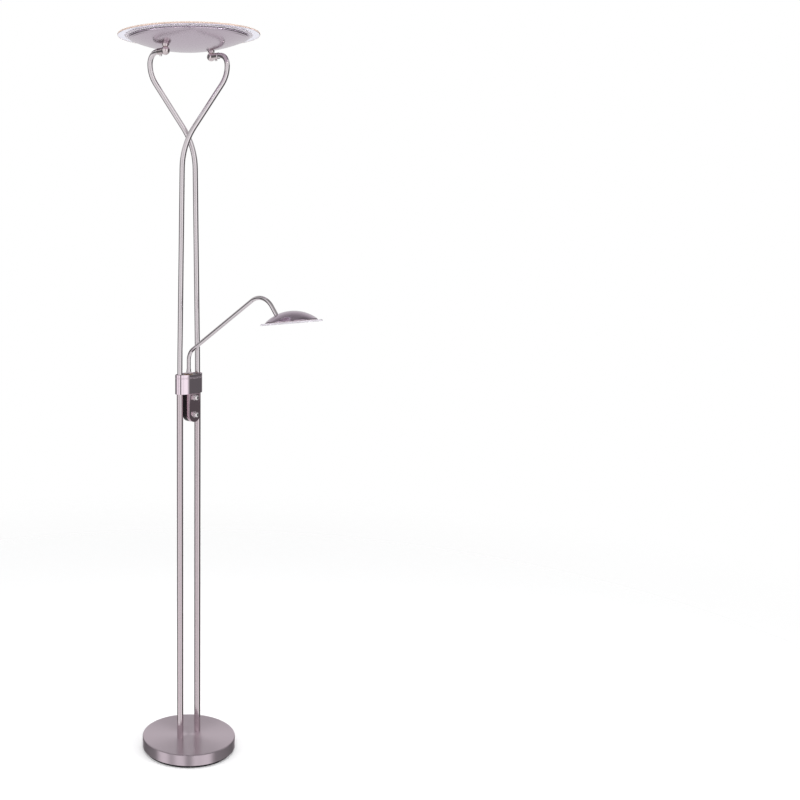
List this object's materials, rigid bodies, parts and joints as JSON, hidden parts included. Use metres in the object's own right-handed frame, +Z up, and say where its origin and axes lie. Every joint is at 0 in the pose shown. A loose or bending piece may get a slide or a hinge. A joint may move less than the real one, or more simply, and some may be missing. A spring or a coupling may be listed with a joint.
{
  "type": "torchiere floor lamp with reading light",
  "caption": "Floor lamp with a tilting uplighter disc on crossed tubes, a swivelling reading arm with a small disc head, and a round weighted base.",
  "frame": {"origin": "centre of the base on the floor", "axes": "+Z up, the reading arm points to -Y at rest, the tubes stand on the X axis"},
  "size_m": [0.342, 0.5797, 1.8],
  "materials": {
    "satin_steel": "fine circular and lengthwise brushing",
    "polished_steel": "bright polished plating",
    "black_plastic": "fine moulded texture",
    "soft_black": "matt",
    "cast_weight": "rough casting",
    "die_cast": "cast zinc grey",
    "disc_glass": "clear rim, frosted middle",
    "plain_aluminium": "rolled",
    "white_board": "white solder mask",
    "light_source": "yellow resin",
    "silicone": "translucent",
    "fibre": "pressed fibre",
    "zinc_plated": "zinc plated",
    "bearing_bronze": "turned"
  },
  "bodies": {
    "stand": {"base_cover": "satin_steel", "counterweight": "cast_weight", "base_plate": "zinc_plated", "foot_pad": "soft_black", "base_plate_screws": "zinc_plated", "tube_studs": "zinc_plated", "stud_washers": "zinc_plated", "stud_nuts": "zinc_plated", "mains_gland": "soft_black", "lower_tube_right": "satin_steel", "lower_tube_left": "satin_steel", "upper_tube_front": "satin_steel", "upper_tube_rear": "satin_steel", "clamp_band": "polished_steel", "clamp_core": "die_cast", "clamp_screws": "zinc_plated", "control_cover": "polished_steel", "control_box": "black_plastic", "box_screws": "zinc_plated", "dimmer_nuts": "zinc_plated", "uplighter_dimmer": "black_plastic", "reading_dimmer": "black_plastic", "arm_bush": "bearing_bronze", "knuckle_lower_right": "satin_steel", "knuckle_lower_left": "satin_steel", "pivot_screws": "zinc_plated", "friction_discs": "fibre", "set_screws": "polished_steel"},
    "uplighter_head": {"uplighter_dish": "satin_steel", "uplighter_glass": "disc_glass", "glass_gasket": "silicone", "heat_spreader": "plain_aluminium", "spreader_posts": "zinc_plated", "glass_posts": "silicone", "uplighter_board": "white_board", "board_lights": "light_source", "uplighter_driver": "black_plastic", "knuckle_upper_right": "satin_steel", "knuckle_upper_left": "satin_steel", "wedge_washers": "die_cast", "neck_nuts": "zinc_plated"},
    "reading_arm": {"arm_tube": "satin_steel", "arm_collar": "satin_steel", "arm_retainer": "zinc_plated"},
    "head_swivel": {"head_ball": "satin_steel"},
    "reading_head": {"reading_dome": "satin_steel", "ball_socket": "die_cast", "reading_heat_sink": "plain_aluminium", "reading_board": "white_board", "reading_glass": "disc_glass", "reading_glass_posts": "silicone"},
    "uplighter_control": {"uplighter_knob": "polished_steel", "uplighter_dimmer_shaft": "zinc_plated"},
    "reading_control": {"reading_knob": "polished_steel", "reading_dimmer_shaft": "zinc_plated"}
  },
  "joints": [
    {"name": "uplighter_tilt", "type": "hinge", "parent": "stand", "child": "uplighter_head", "pos_m": [0, 0, 1.75479], "axis": [1, 0, 0], "range_deg": [-10, 10]},
    {"name": "arm_swivel", "type": "hinge", "parent": "stand", "child": "reading_arm", "pos_m": [0, 0, 0.978], "axis": [0, 0, 1], "range_deg": [-60, 60]},
    {"name": "head_turn", "type": "hinge", "parent": "reading_arm", "child": "head_swivel", "pos_m": [0, -0.2979, 1.13677], "axis": [0, -0.6115, -0.7912], "range_deg": [-60, 60]},
    {"name": "head_tilt", "type": "hinge", "parent": "head_swivel", "child": "reading_head", "pos_m": [0, -0.2979, 1.13677], "axis": [1, 0, 0], "range_deg": [-18, 18]},
    {"name": "uplighter_dim", "type": "hinge", "parent": "stand", "child": "uplighter_control", "pos_m": [0, -0.022, 0.923], "axis": [0, 1, 0], "range_deg": [-135, 135]},
    {"name": "reading_dim", "type": "hinge", "parent": "stand", "child": "reading_control", "pos_m": [0, -0.022, 0.88], "axis": [0, 1, 0], "range_deg": [-135, 135]}
  ]
}
